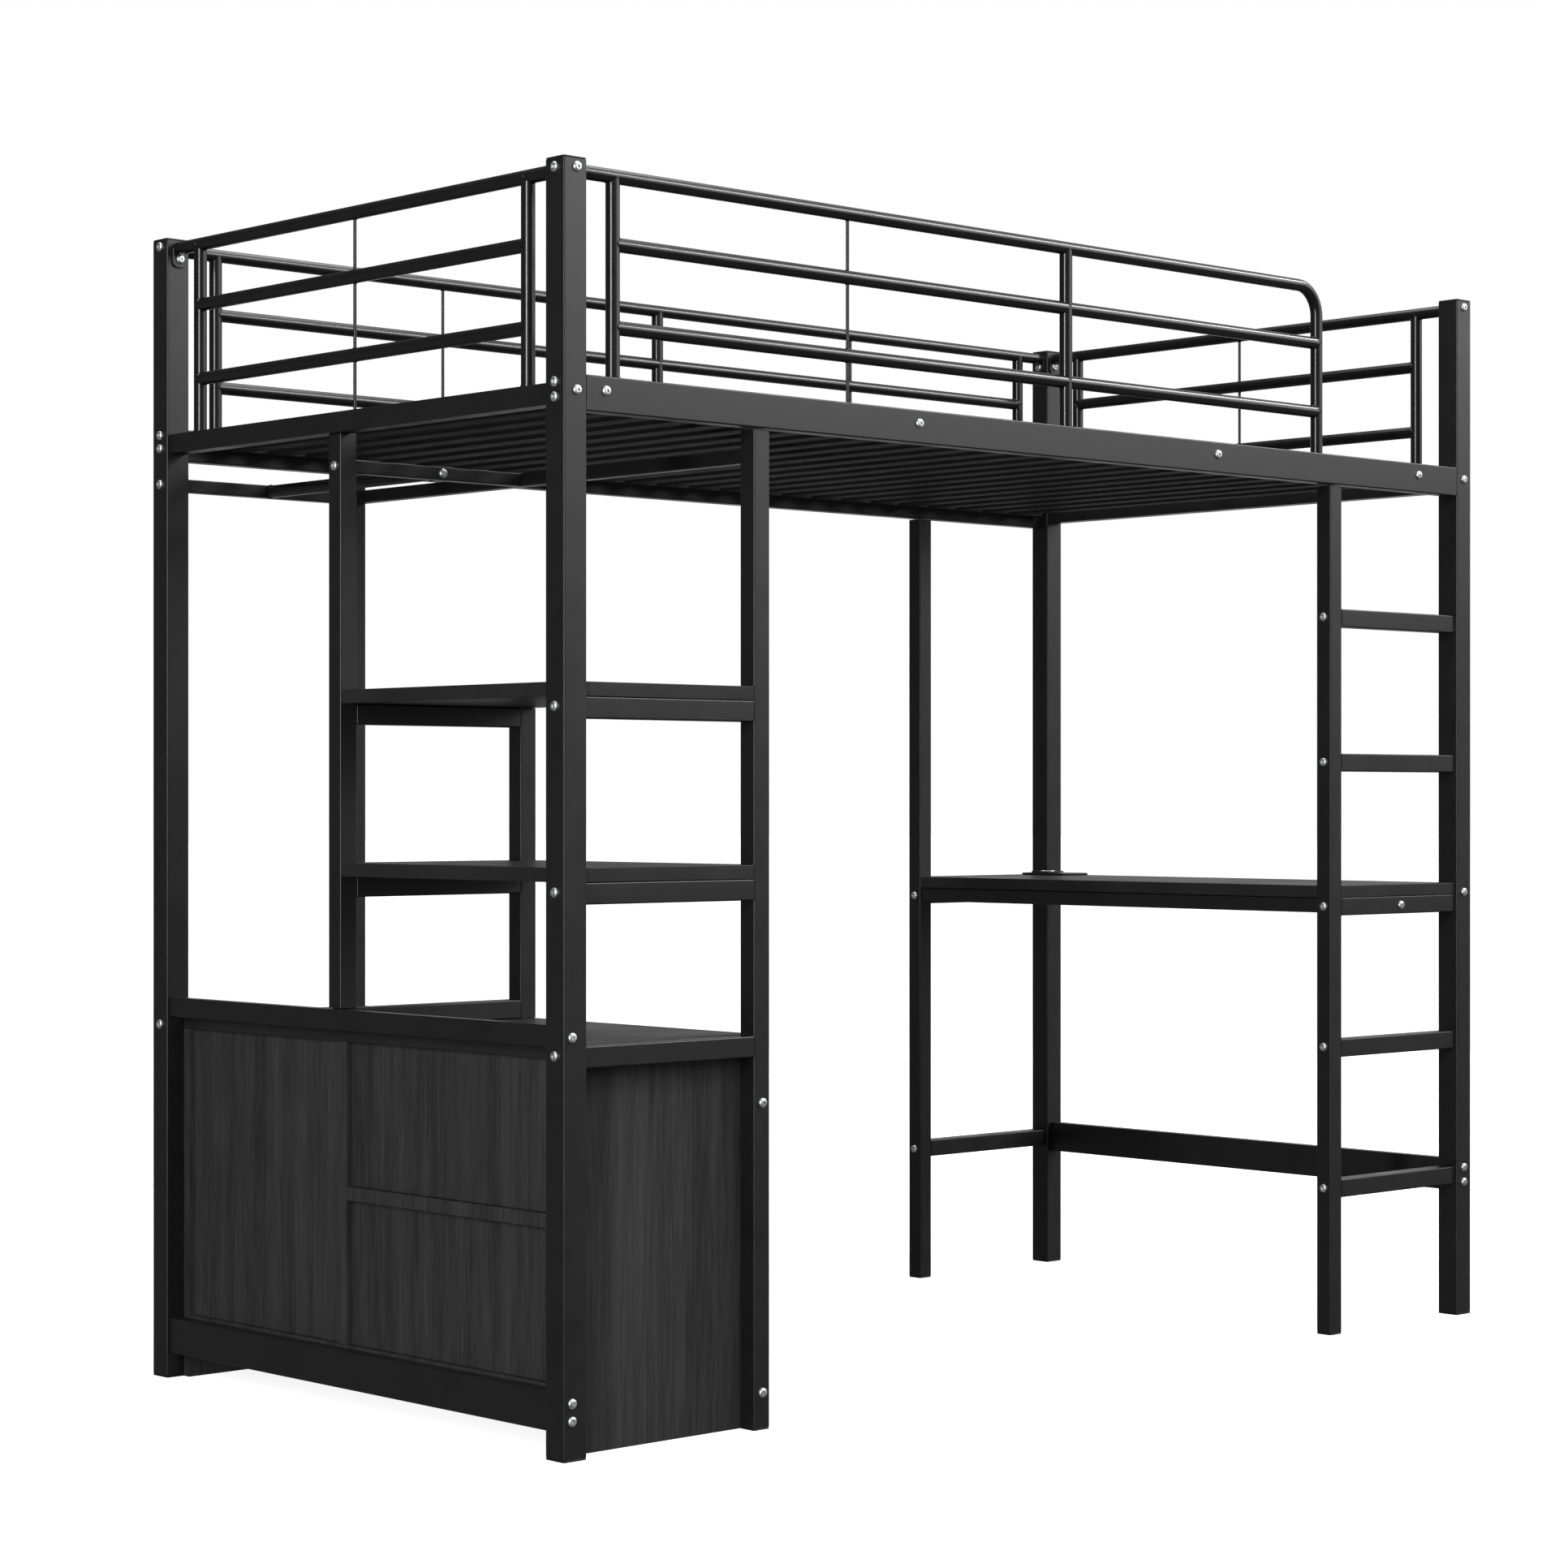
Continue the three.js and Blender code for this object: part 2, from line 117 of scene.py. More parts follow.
def newMaterial(name, values):
    material = bpy.data.materials.new(name)
    material.use_nodes = True
    tree = material.node_tree
    shader = tree.nodes["Principled BSDF"]
    for socket, key in (("IOR", "ior"), ("Specular IOR Level", "shine"), ("Metallic", "metallic")):
        if key in values:
            shader.inputs[socket].default_value = values[key]
    return material, tree, shader


def sized(sizeMm):  # the noise scale at which one speck has this size
    return 1 / (sizeMm * mm)


def giveSurface(tree, shader, values, tone, wear, relief, depthMm):
    # tone runs between the two colours, wear between the two roughnesses, and relief is the bump's height
    start, end = values.get("contrast", (0.3, 0.7))
    share = addNode(tree, "ShaderNodeMapRange", Value=tone, From_Min=start, From_Max=end, To_Min=0, To_Max=1)
    color = addNode(tree, "ShaderNodeMix", {"data_type": "RGBA"}, _0=share.outputs[0],
                    _6=fromHex(values["dark"]), _7=fromHex(values["light"]))
    low, high = values["roughness"]
    roughness = addNode(tree, "ShaderNodeMapRange", Value=wear, From_Min=0.3, From_Max=0.7, To_Min=low,
                        To_Max=high)
    bump = addNode(tree, "ShaderNodeBump", Height=relief, Strength=1.0, Distance=depthMm * mm)
    tree.links.new(color.outputs[2], shader.inputs["Base Color"])
    tree.links.new(roughness.outputs[0], shader.inputs["Roughness"])
    tree.links.new(bump.outputs[0], shader.inputs["Normal"])


# Polyester powder coat, sprayed and baked on steel tube: an even satin black with a faint orange peel

powderCoat = {
    "dark": "#101011",
    "light": "#141415",
    "cloudMm": 90,
    "roughness": (0.36, 0.44),
    "wipeMm": 45,
    "peelMm": 4.5,  # real orange peel is about 2 mm, drawn coarser so that it shows
    "peelDepthMm": 0.012,
    "ior": 1.5,
    "shine": 0.5,
}

# The same powder on the guards' drawn round tube, smoother under it: thin bright streaks along the tubes

roundTubeCoat = dict(powderCoat, roughness=(0.22, 0.26), peelDepthMm=0.001, shine=0.45)

# The same powder baked on the slats, where it lies thin and dull

slatCoat = dict(powderCoat, roughness=(0.6, 0.68), shine=0.25)


def makePowderCoat(name, values):
    material, tree, shader = newMaterial(name, values)
    place = addNode(tree, "ShaderNodeTexCoord").outputs["Object"]
    cloud = addNode(tree, "ShaderNodeTexNoise", Vector=place, Scale=sized(values["cloudMm"]), Detail=3.0)
    wipe = addNode(tree, "ShaderNodeTexNoise", Vector=place, Scale=sized(values["wipeMm"]), Detail=4.0)
    peel = addNode(tree, "ShaderNodeTexNoise", Vector=place, Scale=sized(values["peelMm"]), Detail=1.0)
    giveSurface(tree, shader, values, cloud.outputs[0], wipe.outputs[0], peel.outputs[0],
                values["peelDepthMm"])
    return material


# Melamine-faced particle board, pressed against a plate with a fine wood pore: matt black, upright grain

grainBoard = {
    "dark": "#2a2a2a",
    "light": "#3e3e3e",
    "grainMm": 5.0,  # spacing of the pore lines
    "grainLength": 0.045,  # how far the pattern is drawn out along the grain
    "figureMm": 34,
    "poreMm": 2.6,
    "contrast": (0.36, 0.64),
    "roughness": (0.5, 0.62),
    "poreDepthMm": 0.06,
    "ior": 1.48,
    "shine": 0.12,
}


def makeGrainBoard():
    material, tree, shader = newMaterial("woodgrainMelamine", grainBoard)
    place = addNode(tree, "ShaderNodeTexCoord").outputs["Object"]
    stretch = (1, 1, grainBoard["grainLength"])
    drawn = addNode(tree, "ShaderNodeMapping", Vector=place, Scale=stretch).outputs[0]
    grainScale, figureScale = sized(grainBoard["grainMm"]), sized(grainBoard["figureMm"])
    poreScale = sized(grainBoard["poreMm"])
    grain = addNode(tree, "ShaderNodeTexNoise", Vector=drawn, Scale=grainScale, Detail=4.0).outputs[0]
    figure = addNode(tree, "ShaderNodeTexNoise", Vector=drawn, Scale=figureScale, Detail=2.0).outputs[0]
    pores = addNode(tree, "ShaderNodeTexNoise", Vector=drawn, Scale=poreScale, Detail=2.0).outputs[0]
    tone = addNode(tree, "ShaderNodeMix", _0=0.5, _2=grain, _3=figure).outputs[0]
    giveSurface(tree, shader, grainBoard, tone, pores, pores, grainBoard["poreDepthMm"])
    return material


# Melamine-faced particle board, pressed against a pearl-finish plate: smooth, satin black boards

smoothBoard = {
    "dark": "#1f1f1f",
    "light": "#252525",
    "cloudMm": 120,
    "pearlMm": 3.2,  # real pearl texture is under 1 mm, drawn coarser so that it shows
    "pearlDepthMm": 0.02,
    "roughness": (0.4, 0.5),
    "ior": 1.5,
    "shine": 0.3,
}


def makeSmoothBoard():
    material, tree, shader = newMaterial("pearlMelamine", smoothBoard)
    place = addNode(tree, "ShaderNodeTexCoord").outputs["Object"]
    cloudScale, pearlScale = sized(smoothBoard["cloudMm"]), sized(smoothBoard["pearlMm"])
    cloud = addNode(tree, "ShaderNodeTexNoise", Vector=place, Scale=cloudScale, Detail=4.0).outputs[0]
    pearl = addNode(tree, "ShaderNodeTexNoise", Vector=place, Scale=pearlScale, Detail=1.0).outputs[0]
    giveSurface(tree, shader, smoothBoard, cloud, cloud, pearl, smoothBoard["pearlDepthMm"])
    return material


# Zinc-plated steel, bright chromate: bolts, hinges and drawer runners, silver with a slight blue cast

zincPlate = {
    "dark": "#c9cccf",
    "light": "#ececec",
    "spangleMm": 6,
    "spangleDepthMm": 0.01,
    "roughness": (0.34, 0.46),
    "metallic": 1.0,
}


def makeZincPlate():
    material, tree, shader = newMaterial("zincPlatedSteel", zincPlate)
    place = addNode(tree, "ShaderNodeTexCoord").outputs["Object"]
    scale = sized(zincPlate["spangleMm"])
    spangle = addNode(tree, "ShaderNodeTexNoise", Vector=place, Scale=scale, Detail=3.0).outputs[0]
    giveSurface(tree, shader, zincPlate, spangle, spangle, spangle, zincPlate["spangleDepthMm"])
    return material


# Polypropylene, injection moulded with a fine spark-eroded texture: caps, feet and the charging plate

mouldedPlastic = {
    "dark": "#0e0e0e",
    "light": "#151515",
    "cloudMm": 30,
    "sparkMm": 2.2,  # real spark texture is about 0.3 mm, drawn coarser so that it shows
    "sparkDepthMm": 0.03,
    "roughness": (0.4, 0.52),
    "ior": 1.49,
}


def makeMouldedPlastic():
    material, tree, shader = newMaterial("mouldedPolypropylene", mouldedPlastic)
    place = addNode(tree, "ShaderNodeTexCoord").outputs["Object"]
    cloudScale, sparkScale = sized(mouldedPlastic["cloudMm"]), sized(mouldedPlastic["sparkMm"])
    cloud = addNode(tree, "ShaderNodeTexNoise", Vector=place, Scale=cloudScale, Detail=3.0).outputs[0]
    spark = addNode(tree, "ShaderNodeTexNoise", Vector=place, Scale=sparkScale, Detail=1.0).outputs[0]
    giveSurface(tree, shader, mouldedPlastic, cloud, cloud, spark, mouldedPlastic["sparkDepthMm"])
    return material


# Pieces: each is one mesh that rides on a body, takes a finish and may stand for frame nodes

def finishPiece(name, bm, material, body="frame", nodes=(), sharp=35):
    bmesh.ops.recalc_face_normals(bm, faces=bm.faces)
    mesh = bpy.data.meshes.new(name)
    bm.to_mesh(mesh)
    bm.free()
    mesh.polygons.foreach_set("use_smooth", [True] * len(mesh.polygons))
    mesh.set_sharp_from_angle(angle=math.radians(sharp))
    mesh.materials.append(material)
    piece = bpy.data.objects.new(name, mesh)
    bpy.context.scene.collection.objects.link(piece)
    flatten = piece.modifiers.new("flatFaces", "WEIGHTED_NORMAL")  # keeps flat faces flat beside round edges
    flatten.keep_sharp = True
    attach(piece, body)
    if nodes:
        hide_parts(*nodes)
    return piece


def loftRings(bm, rings):  # joins rings of points and closes both ends
    loops = [[bm.verts.new(point) for point in ring] for ring in rings]
    count = len(loops[0])
    for near, far in zip(loops, loops[1:]):
        for i in range(count):
            j = (i + 1) % count
            bm.faces.new((near[i], near[j], far[j], far[i]))
    bm.faces.new(loops[0][::-1])
    bm.faces.new(loops[-1])


def roundedOutline(width, height, radius, steps=4):  # points round a rectangle with round corners
    points = []
    for corner in range(4):
        sideX = 1 if corner in (0, 3) else -1
        sideY = 1 if corner < 2 else -1
        centreX, centreY = sideX * (width / 2 - radius), sideY * (height / 2 - radius)
        for step in range(steps + 1):
            angle = math.radians(90 * (corner + step / steps))
            points.append((centreX + radius * math.cos(angle), centreY + radius * math.sin(angle)))
    return points


def addBar(bm, low, high, along, radius, ease=0.4 * mm):  # a bar with round long edges and eased ends
    across, up = (along + 1) % 3, (along + 2) % 3
    size = high - low
    middle = (low + high) / 2
    start, end = low[along], high[along]
    rings = []
    for place, shrink in ((start, ease), (start + ease, 0), (end - ease, 0), (end, ease)):
        ring = []
        for u, v in roundedOutline(size[across] - 2 * shrink, size[up] - 2 * shrink, radius):
            point = middle.copy()
            point[along] = place
            point[across] += u
            point[up] += v
            ring.append(point)
        rings.append(ring)
    loftRings(bm, rings)


def ringsAlong(path, outline):  # rings of a section carried along a path without twisting
    directions = [(b - a).normalized() for a, b in zip(path, path[1:])]
    tangents = [directions[0]]
    tangents += [(a + b).normalized() for a, b in zip(directions, directions[1:])]
    tangents.append(directions[-1])
    side = tangents[0].orthogonal().normalized()
    rings = []
    for place, tangent in zip(path, tangents):
        side = (side - tangent * side.dot(tangent)).normalized()
        up = tangent.cross(side)
        rings.append([place + side * u + up * v for u, v in outline])
    return rings


def circle(radius, sides=24):
    turns = [2 * math.pi * i / sides for i in range(sides)]
    return [(radius * math.cos(turn), radius * math.sin(turn)) for turn in turns]


def addRoundTube(bm, path, radius, sides=24):
    loftRings(bm, ringsAlong(path, circle(radius, sides)))


def ringRound(centre, normal, outline):  # an outline laid square to a direction
    side = normal.orthogonal().normalized()
    up = normal.cross(side)
    return [centre + side * u + up * v for u, v in outline]


def addTurned(bm, centre, normal, profile, sides=24):  # profile lists (radius, height) from the base out
    rings = []
    for radius, height in profile:
        rings.append(ringRound(centre + normal * height, normal, circle(radius, sides)))
    loftRings(bm, rings)


def bevelledCopy(nodeName, size, segments=2):  # the frame node's shape with eased edges
    bm = bmesh.new()
    bm.from_mesh(frame["nodes"][nodeName].data)
    bmesh.ops.remove_doubles(bm, verts=bm.verts, dist=0.01 * mm)
    bmesh.ops.dissolve_limit(bm, angle_limit=math.radians(2), verts=bm.verts, edges=bm.edges)
    edges = [edge for edge in bm.edges if edge.calc_face_angle(0) > math.radians(30)]
    bmesh.ops.bevel(bm, geom=edges, offset=size, segments=segments, profile=0.5, affect="EDGES")
    return bm


# Square tube posts and rails

tubes = {
    "cornerRadius": 2.2 * mm,
    "capLip": 2.5 * mm,
    "footHeight": 3 * mm,
    "shelfFootRail": 28.4 * mm,
    "endEase": 0.8 * mm,
    "capEase": 1.1 * mm,
    "along": {
        0: ["side_rail_front", "side_rail_back", "wardrobe_rail_back", "wardrobe_rail_mid",
            "shelf_rail_upper_front", "shelf_rail_upper_mid", "shelf_rail_lower_front",
            "shelf_rail_lower_mid", "cabinet_rail_front", "cabinet_rail_back", "desk_rail_front",
            "desk_rail_back", "low_rail_back",
            "ladder_rung_1", "ladder_rung_2", "ladder_rung_3", "ladder_rung_4"],
        1: ["end_rail_left", "end_rail_right", "wardrobe_rail_inner", "cabinet_rail_end",
            "cabinet_skirt_rail", "desk_rail_inner", "desk_rail_end", "low_rail_end"],
        2: ["shelf_post_outer"],
    },
    "cornerPosts": ["post_front_left", "post_back_left", "post_front_right", "post_back_right"],
    "innerPosts": ["wardrobe_post_front", "wardrobe_post_back", "ladder_post", "desk_post_back"],
}


def makeTubes():
    for along, names in tubes["along"].items():
        for name in names:
            bm = bmesh.new()
            addBar(bm, *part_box(name), along, tubes["cornerRadius"])
            finishPiece(name + "_tube", bm, coat, nodes=[name])


def makePosts():
    for name in tubes["cornerPosts"] + tubes["innerPosts"]:
        low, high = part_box(name)
        foot = low + zAxis * tubes["footHeight"]
        bm = bmesh.new()
        addBar(bm, Vector((low.x, low.y, foot.z)), high, 2, tubes["cornerRadius"])
        finishPiece(name + "_tube", bm, coat, nodes=[name])
        bm = bmesh.new()
        addBar(bm, low, Vector((high.x, high.y, foot.z - 0.2 * mm)), 2, tubes["cornerRadius"],
               tubes["endEase"])
        finishPiece(name + "_foot", bm, plastic)
        if name in tubes["cornerPosts"]:
            bm = bmesh.new()
            top = Vector((high.x, high.y, high.z + tubes["capLip"]))
            addBar(bm, Vector((low.x, low.y, high.z + 0.1 * mm)), top, 2, tubes["cornerRadius"],
                   tubes["capEase"])
            finishPiece(name + "_cap", bm, plastic)


def makeInnerShelfPost():  # the post and the rail welded to its foot
    low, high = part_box("shelf_post_inner")
    size = high.y - low.y
    railTop = low.z + tubes["shelfFootRail"]
    bm = bmesh.new()
    addBar(bm, Vector((high.x - size, low.y, low.z)), high, 2, tubes["cornerRadius"])
    addBar(bm, low, Vector((high.x - size, high.y, railTop)), 0, tubes["cornerRadius"])
    finishPiece("shelf_post_inner_tube", bm, coat, nodes=["shelf_post_inner"])


# Slat deck: flat steel slats welded between two ledgers

slats = {
    "count": 25,
    "pitch": 74.2 * mm,
    "width": 40 * mm,
    "thickness": 10 * mm,
    "ledger": 20 * mm,
    "edgeRadius": 4.4 * mm,  # a flat oval section
    "ledgerRadius": 1.6 * mm,
    "weldRadius": 1.3 * mm,
    "weldInset": 3 * mm,
}


def makeSlatDeck():
    low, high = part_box("slat_deck")
    bm = bmesh.new()
    for start in (low.y, high.y - slats["ledger"]):
        near = Vector((low.x, start, low.z))
        addBar(bm, near, Vector((high.x, start + slats["ledger"], high.z)), 0, slats["ledgerRadius"])
    first = (low.x + high.x - (slats["count"] - 1) * slats["pitch"] - slats["width"]) / 2
    for i in range(slats["count"]):
        x = first + i * slats["pitch"]
        near = Vector((x, low.y + slats["ledger"], low.z))
        far = Vector((x + slats["width"], high.y - slats["ledger"], low.z + slats["thickness"]))
        addBar(bm, near, far, 1, slats["edgeRadius"])
        for y in (near.y, far.y):
            weld = Vector((x + slats["weldInset"], y, far.z))
            reach = slats["width"] - 2 * slats["weldInset"]
            addRoundTube(bm, [weld, weld + xAxis * reach], slats["weldRadius"], 8)
    finishPiece("slat_deck_welded", bm, dullCoat, nodes=["slat_deck"])


# Guards: round tubes, thin rods and their weld beads

guards = {
    "line": 20,  # mm inside the frame's outer face
    "heights": [1540, 1654, 1747],
    "radius": 10,
    "rodRadius": 2.5,
    "bendRadius": 48,
    "bendSteps": 12,
    "uprightInset": 102.5,
    "endUprightInset": 101.6,
    "frontEnd": 1638,
    "rodNear": 550,
    "rodFar": 1490,
    "beadRadius": 1.1,
    "footWeld": (2, 0.9),  # height and how far it stands out
}


def addBead(bm, centre, main, branch, mainRadius, branchRadius):  # weld where a branch leaves a main tube
    side = main.cross(branch)
    path = []
    for turn in [2 * math.pi * i / 24 for i in range(25)]:
        u, v = branchRadius * math.cos(turn), branchRadius * math.sin(turn)
        rise = math.sqrt(max(mainRadius ** 2 - v * v, 0))
        path.append(centre + main * u + side * v + branch * rise)
    addRoundTube(bm, path, guards["beadRadius"] * mm, 6)


def makeGuard(name, place, run, uprights, rods, along, bent=False):
    radius, rodRadius = guards["radius"] * mm, guards["rodRadius"] * mm
    top = guards["heights"][-1]
    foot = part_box(name)[0].z / mm
    bm = bmesh.new()
    topPath = [place(run[0], top), place(run[1], top)]
    if bent:  # the top tube turns down and is the last upright too; two of its rings share the bend's start
        bend = guards["bendRadius"]
        for step in range(guards["bendSteps"] + 1):
            turn = math.radians(90 * step / guards["bendSteps"])
            topPath.append(place(run[1] + bend * math.sin(turn), top - bend + bend * math.cos(turn)))
        topPath.append(place(uprights[-1], foot))
    addRoundTube(bm, topPath, radius)
    for height in guards["heights"][:-1]:
        addRoundTube(bm, [place(uprights[0], height), place(uprights[-1], height)], radius)
    weldHeight, weldReach = guards["footWeld"]
    for at in uprights[:-1] if bent else uprights:
        addRoundTube(bm, [place(at, foot), place(at, top)], radius)
        addBead(bm, place(at, top), along, -zAxis, radius, radius)
        addRoundTube(bm, [place(at, foot), place(at, foot + weldHeight)], radius + weldReach * mm)
    for height in guards["heights"][:-1]:
        for at, way in ((uprights[0], along), (uprights[-1], -along)):
            addBead(bm, place(at, height), zAxis, way, radius, radius)
    for at in rods:
        addRoundTube(bm, [place(at, foot), place(at, top)], rodRadius, 12)
        for height in guards["heights"]:
            addBead(bm, place(at, height), along, -zAxis, radius, rodRadius)
        for height in guards["heights"][:-1]:
            addBead(bm, place(at, height), along, zAxis, radius, rodRadius)
    finishPiece(name + "_welded", bm, roundCoat, nodes=[name], sharp=50)


def makeGuards():
    line, inset, endInset = guards["line"], guards["uprightInset"], guards["endUprightInset"]
    low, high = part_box("side_rail_front")
    sideRun = [(low.x - cadLow.x) / mm, (high.x - cadLow.x) / mm]
    low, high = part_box("end_rail_left")
    endRun = [(low.y - cadLow.y) / mm, (high.y - cadLow.y) / mm]
    frontEnd, bend = guards["frontEnd"], guards["bendRadius"]
    makeGuard("guard_front", lambda x, z: fromCorner(x, line, z), [sideRun[0], frontEnd - bend],
              [inset, bedLength / 2, frontEnd], [guards["rodNear"]], xAxis, bent=True)
    makeGuard("guard_back", lambda x, z: fromCorner(x, bedWidth - line, z), sideRun,
              [inset, bedLength / 2, bedLength - inset], [guards["rodNear"], guards["rodFar"]], xAxis)
    for name, x in (("guard_left", line), ("guard_right", bedLength - line)):
        makeGuard(name, lambda y, z, x=x: fromCorner(x, y, z), endRun, [endInset, bedWidth - endInset],
                  [bedWidth / 2], yAxis)


# Tab plates under the back guards' ends

tabs = {  # mm
    "width": 26,
    "thickness": 3,
    "low": 1718,
    "high": 1753,
    "cornerRadius": 8,
    "bolt": 1730.6,
    "centre": 22.3,  # in from the bed's ends
    "sideCentre": 20,  # in from the wall side
    "post": 40.1,  # the post's thickness and a hair
}


def makeTabs():
    half, thick, post, radius = tabs["width"] / 2, tabs["thickness"], tabs["post"], tabs["cornerRadius"] * mm
    for name, centre in (("post_back_left_tab", tabs["centre"]),
                         ("post_back_right_tab_front", bedLength - tabs["centre"])):
        bm = bmesh.new()
        low = fromCorner(centre - half, bedWidth - post - thick, tabs["low"])
        addBar(bm, low, fromCorner(centre + half, bedWidth - post, tabs["high"]), 1, radius)
        finishPiece(name, bm, coat)
    bm = bmesh.new()
    centre = bedWidth - tabs["sideCentre"]
    low = fromCorner(bedLength - post - thick, centre - half, tabs["low"])
    addBar(bm, low, fromCorner(bedLength - post, centre + half, tabs["high"]), 0, radius)
    finishPiece("post_back_right_tab_side", bm, coat)


# Button-head socket bolts

bolts = {
    "head": [(7.2, 0), (7.2, 0.8), (6.9, 1.9), (6.1, 2.9), (4.9, 3.6), (3.9, 3.8)],  # radius, height in mm
    "socket": 5.0,  # across flats, mm
    "socketFloor": 1.2,
    "sides": 24,
}


def hexagon(across, sides):  # as many points as the head has, so that the two join
    points = []
    for turn in [2 * math.pi * i / sides for i in range(sides)]:
        reach = across / 2 / math.cos(turn % math.radians(60) - math.radians(30))
        points.append((reach * math.cos(turn), reach * math.sin(turn)))
    return points


def addBolt(bm, centre, normal):
    sides, top = bolts["sides"], bolts["head"][-1][1]
    outlines = [(circle(radius * mm, sides), height) for radius, height in bolts["head"]]
    outlines += [(hexagon(bolts["socket"] * mm, sides), height) for height in (top, bolts["socketFloor"])]
    loftRings(bm, [ringRound(centre + normal * height * mm, normal, outline) for outline, height in outlines])


def boltPlan():  # each group's bolts: along, across and up in mm, and the way that the heads face
    railPair, lowPair = (1458, 1437.5), (78.7, 54.6)
    wardrobeEnd = (1748, *railPair, 1020, 768, 547)
    wardrobeFoot = (463.6, 52.7)
    deskRails = (715, 241)
    rungs = (1199, 956.7, 715.3, 480.6, 244.6)
    endRails = (1749, 1450, 733.6, 255.6, 230.2)
    alongSide = (74.4, 679, 1361, 1892)
    middle = 20  # of a corner post
    inner = 5  # the inner posts' faces stand back this far
    wardrobePost, deskPost, shelfPost, hangingRail, sideRail = 368, 1657, 546, 1382, 1449.5
    plan = {
        "post_front_left": [(0, middle, z, -xAxis) for z in wardrobeEnd],
        "post_back_left": [(0, bedWidth - middle, z, -xAxis) for z in (1750, *railPair, hangingRail, 546)],
        "post_front_right": [(bedLength, middle, z, xAxis) for z in (*railPair, *rungs)],
        "post_back_right": [(bedLength, bedWidth - middle, z, xAxis) for z in (*railPair, *deskRails)],
        "wardrobe_post_front": [(wardrobePost, inner, z, -yAxis) for z in wardrobeFoot],
        "wardrobe_post_back": [(wardrobePost, bedWidth - inner, z, yAxis) for z in wardrobeFoot],
        "shelf_post_outer": [(15.5, shelfPost, hangingRail, -xAxis)],
        "wardrobe_rail_mid": [(207, shelfPost - 10, hangingRail, -yAxis)],
        "desk_post_back": [(deskPost, bedWidth - middle, z, -xAxis) for z in deskRails],
        "ladder_post": [(deskPost, middle, z, -xAxis) for z in rungs],
        "desk_rail_front": [(1848.6, inner, 714.4, -yAxis)],
        "side_rail_front": [(x, 0, sideRail, -yAxis) for x in alongSide],
        "side_rail_back": [(x, bedWidth, sideRail, yAxis) for x in alongSide],
    }
    for name, y, normal in (("post_front_left", 0, -yAxis), ("post_back_left", bedWidth, yAxis)):
        plan[name] += [(22.8, y, z, normal) for z in (1748.6, 1447)]
        plan[name] += [(14, y, z, normal) for z in (572.3, *lowPair)]
    for name, y, normal in (("post_front_right", 0, -yAxis), ("post_back_right", bedWidth, yAxis)):
        plan[name] += [(bedLength - middle, y, z, normal) for z in endRails]
    stand, centre = 2 * middle + tabs["thickness"], tabs["centre"]
    plan["post_back_left_tab"] = [(centre, bedWidth - stand, tabs["bolt"], -yAxis)]
    plan["post_back_right_tab"] = [(bedLength - centre, bedWidth - stand, tabs["bolt"], -yAxis),
                                   (bedLength - stand, bedWidth - tabs["sideCentre"], tabs["bolt"], -xAxis)]
    return plan


def makeBolts():
    for name, places in boltPlan().items():
        bm = bmesh.new()
        for x, y, z, normal in places:
            addBolt(bm, fromCorner(x, y, z), normal)
        finishPiece(name + "_bolts", bm, zinc, sharp=40)


# Hanging rod, with a weld bead at each end

rod = {"radius": 10 * mm, "bead": 1.3 * mm, "sides": 32}


def makeHangingRod():
    low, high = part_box("hanging_rod")
    middle = (low + high) / 2
    near, far = Vector((middle.x, low.y, middle.z)), Vector((middle.x, high.y, middle.z))
    half, ring = rod["bead"] / 2, rod["radius"] + rod["bead"]
    bm = bmesh.new()
    addRoundTube(bm, [near, far], rod["radius"], rod["sides"])
    for end in (near + yAxis * half, far - yAxis * half):
        addTurned(bm, end, yAxis, [(ring, -half), (ring, half)], rod["sides"])
    finishPiece("hanging_rod_tube", bm, roundCoat, nodes=["hanging_rod"])


# Boards and panels

boards = {
    "worktops": ["shelf_board_upper", "shelf_board_lower", "cabinet_top", "desk_board"],
    "panels": ["cabinet_side_front", "cabinet_side_back", "cabinet_bottom", "cabinet_divider",
               "cabinet_drawer_shelf", "cabinet_back_tall", "cabinet_back_upper", "cabinet_back_lower"],
    "edging": 0.9 * mm,  # radius of the glued plastic edging
}


def makeBoards():
    for names, material, slotName in ((boards["worktops"], smooth, "worktop_board"),
                                      (boards["panels"], grain, "panel_board")):
        for name in names:
            bm = bevelledCopy(name, boards["edging"])
            finishPiece(name + "_edged", bm, material, nodes=[name])


# Door, drawers and their handles

handles = {"edge": 2.2 * mm, "edgeSteps": 3}


def makeFronts():
    for name in ("cabinet_door", "drawer_upper", "drawer_lower"):
        body = "door" if name == "cabinet_door" else name
        bm = bevelledCopy(name, boards["edging"])
        finishPiece(name + "_edged", bm, grain, body, nodes=[name])
        handle = "door_handle" if body == "door" else name + "_handle"
        bm = bevelledCopy(handle, handles["edge"], handles["edgeSteps"])
        finishPiece(handle + "_bow", bm, coat, body, nodes=[handle])


# Butt hinges on the door's axis

hinges = {  # mm
    "inset": 75,  # from the door's top and bottom edges to the hinges' middles
    "knuckles": 5,
    "knuckleLength": 9,
    "knuckleGap": 0.3,
    "radius": 3.3,
    "leafWidth": 24,
    "leafThickness": 0.8,
    "leafCorner": 0.2,
    "leafEase": 0.1,
    "leafGap": 0.05,
}


